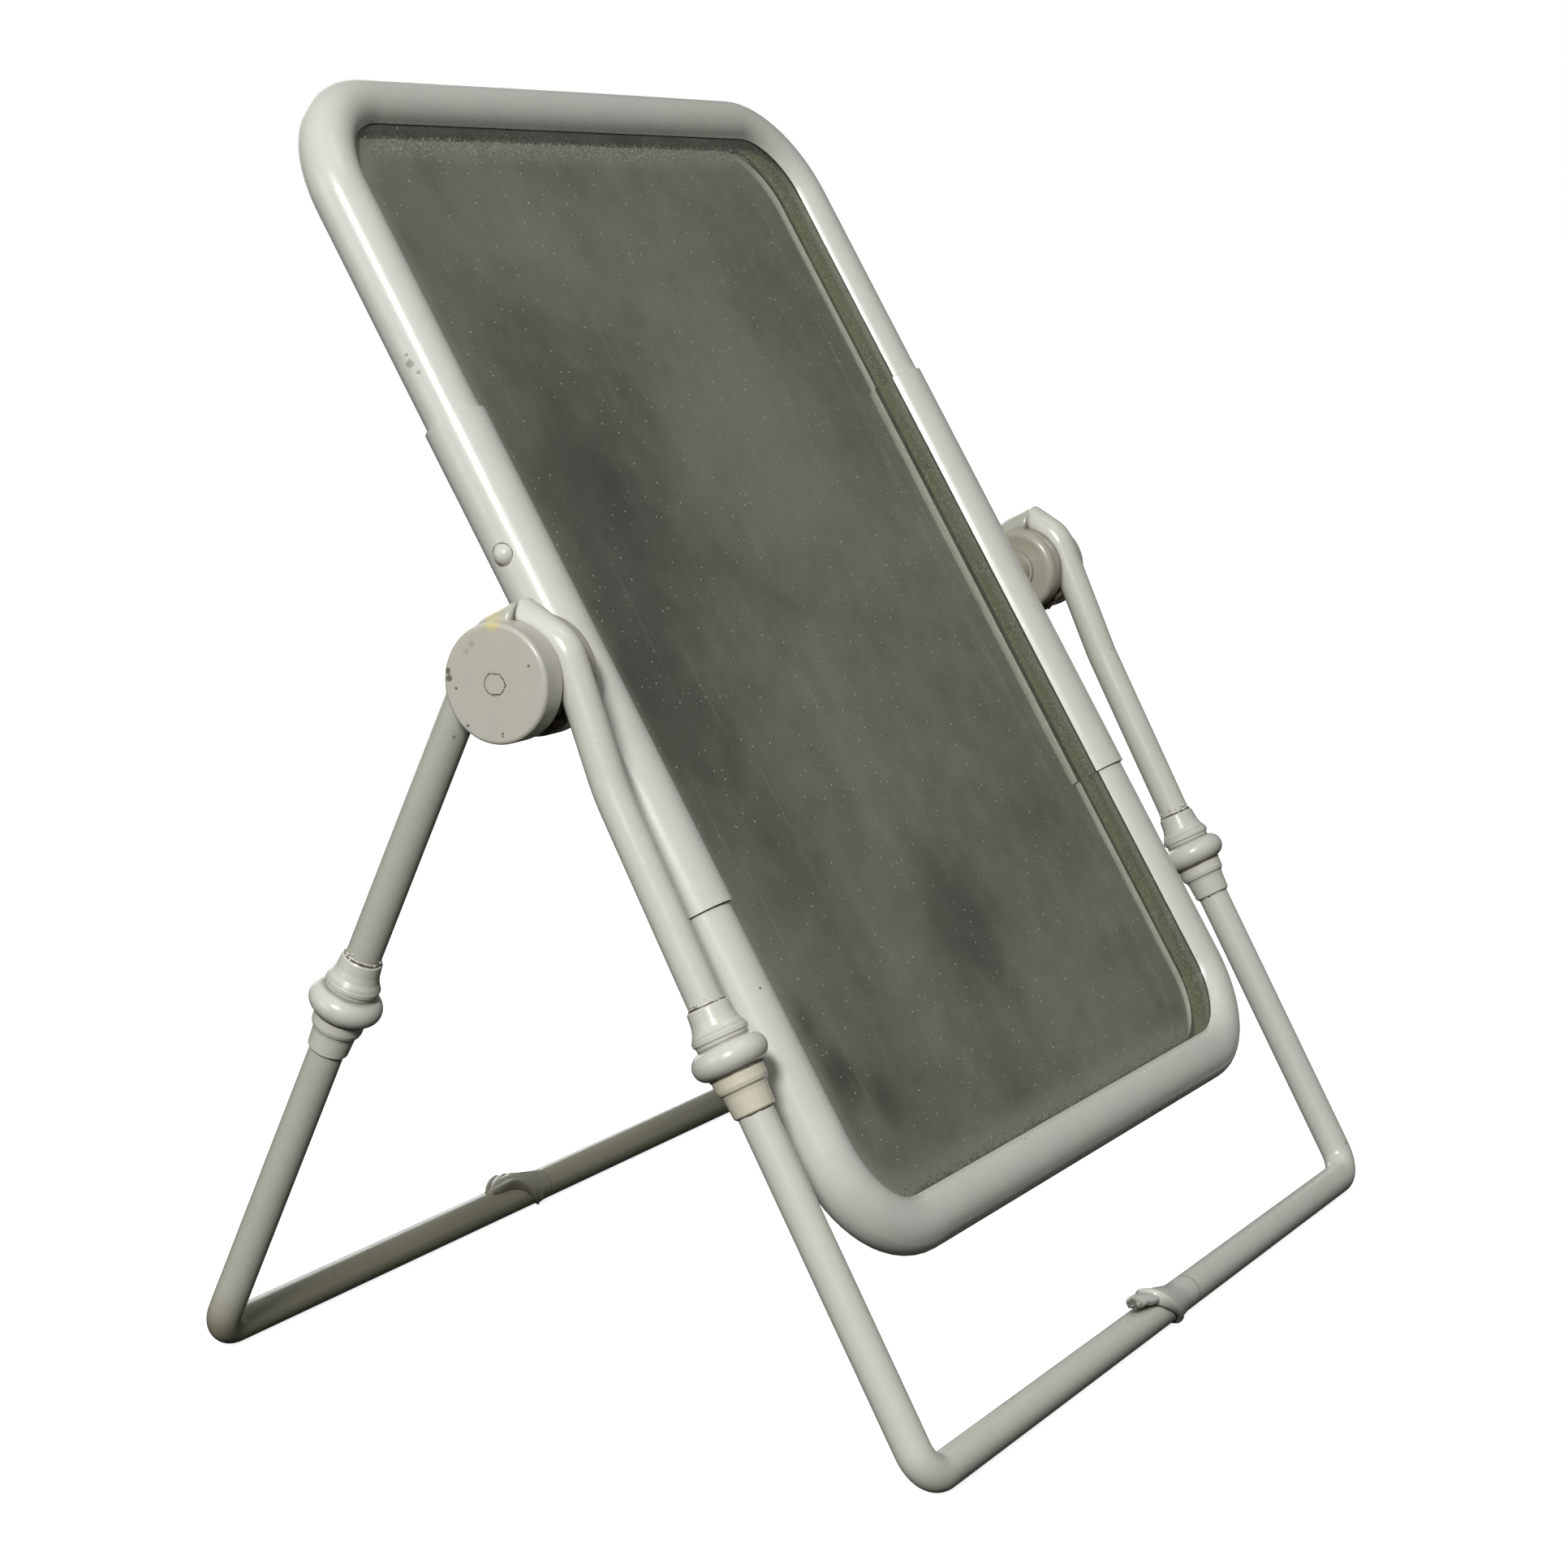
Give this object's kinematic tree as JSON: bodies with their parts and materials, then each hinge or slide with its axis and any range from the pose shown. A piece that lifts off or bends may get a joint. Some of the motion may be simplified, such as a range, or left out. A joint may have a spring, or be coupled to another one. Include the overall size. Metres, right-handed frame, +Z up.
{
  "type": "countertop mirror",
  "caption": "Tilting countertop mirror in a round-cornered slit-tube frame, hung on one axis between two folding U-shaped tube stands with turned collars and side drums.",
  "frame": {"origin": "on the counter plane, straight below the middle of the pivot axis", "axes": "+X along the pivot axis towards the right drum as the user sees it, -Y towards the user, +Z up"},
  "size_m": [0.276, 0.1917, 0.2877],
  "materials": {
    "paint": "aged putty-grey gloss enamel with chips",
    "steel": "bare",
    "mirror": "aged silvering",
    "board": "dull"
  },
  "bodies": {
    "front_stand": {"front_left_upper_rod": "paint", "front_right_upper_rod": "paint", "front_left_collar": "paint", "front_right_collar": "paint", "front_left_lower_tube": "paint", "front_right_lower_tube": "paint", "left_inner_disc": "paint", "right_inner_disc": "paint"},
    "rear_stand": {"rear_left_upper_rod": "paint", "rear_right_upper_rod": "paint", "rear_left_collar": "paint", "rear_right_collar": "paint", "rear_left_lower_tube": "paint", "rear_right_lower_tube": "paint", "left_outer_drum": "paint", "right_outer_drum": "paint", "left_pivot_stud": "paint", "right_pivot_stud": "paint", "left_pivot_nut": "steel", "right_pivot_nut": "steel"},
    "mirror": {"upper_frame": "paint", "lower_frame": "paint", "left_sleeve": "paint", "right_sleeve": "paint", "sleeve_screws": "paint", "left_pivot_spacer": "paint", "right_pivot_spacer": "paint", "left_friction_washer": "steel", "right_friction_washer": "steel", "mirror_glass": "mirror", "backing_board": "board", "back_plate": "paint"}
  },
  "joints": [
    {"name": "stand_fold", "type": "hinge", "parent": "front_stand", "child": "rear_stand", "pos_m": [0, 0, 0.1622], "axis": [-1, 0, 0], "range_deg": [0, 52]},
    {"name": "mirror_tilt", "type": "hinge", "parent": "front_stand", "child": "mirror", "pos_m": [0, 0, 0.1622], "axis": [1, 0, 0], "continuous": true}
  ]
}
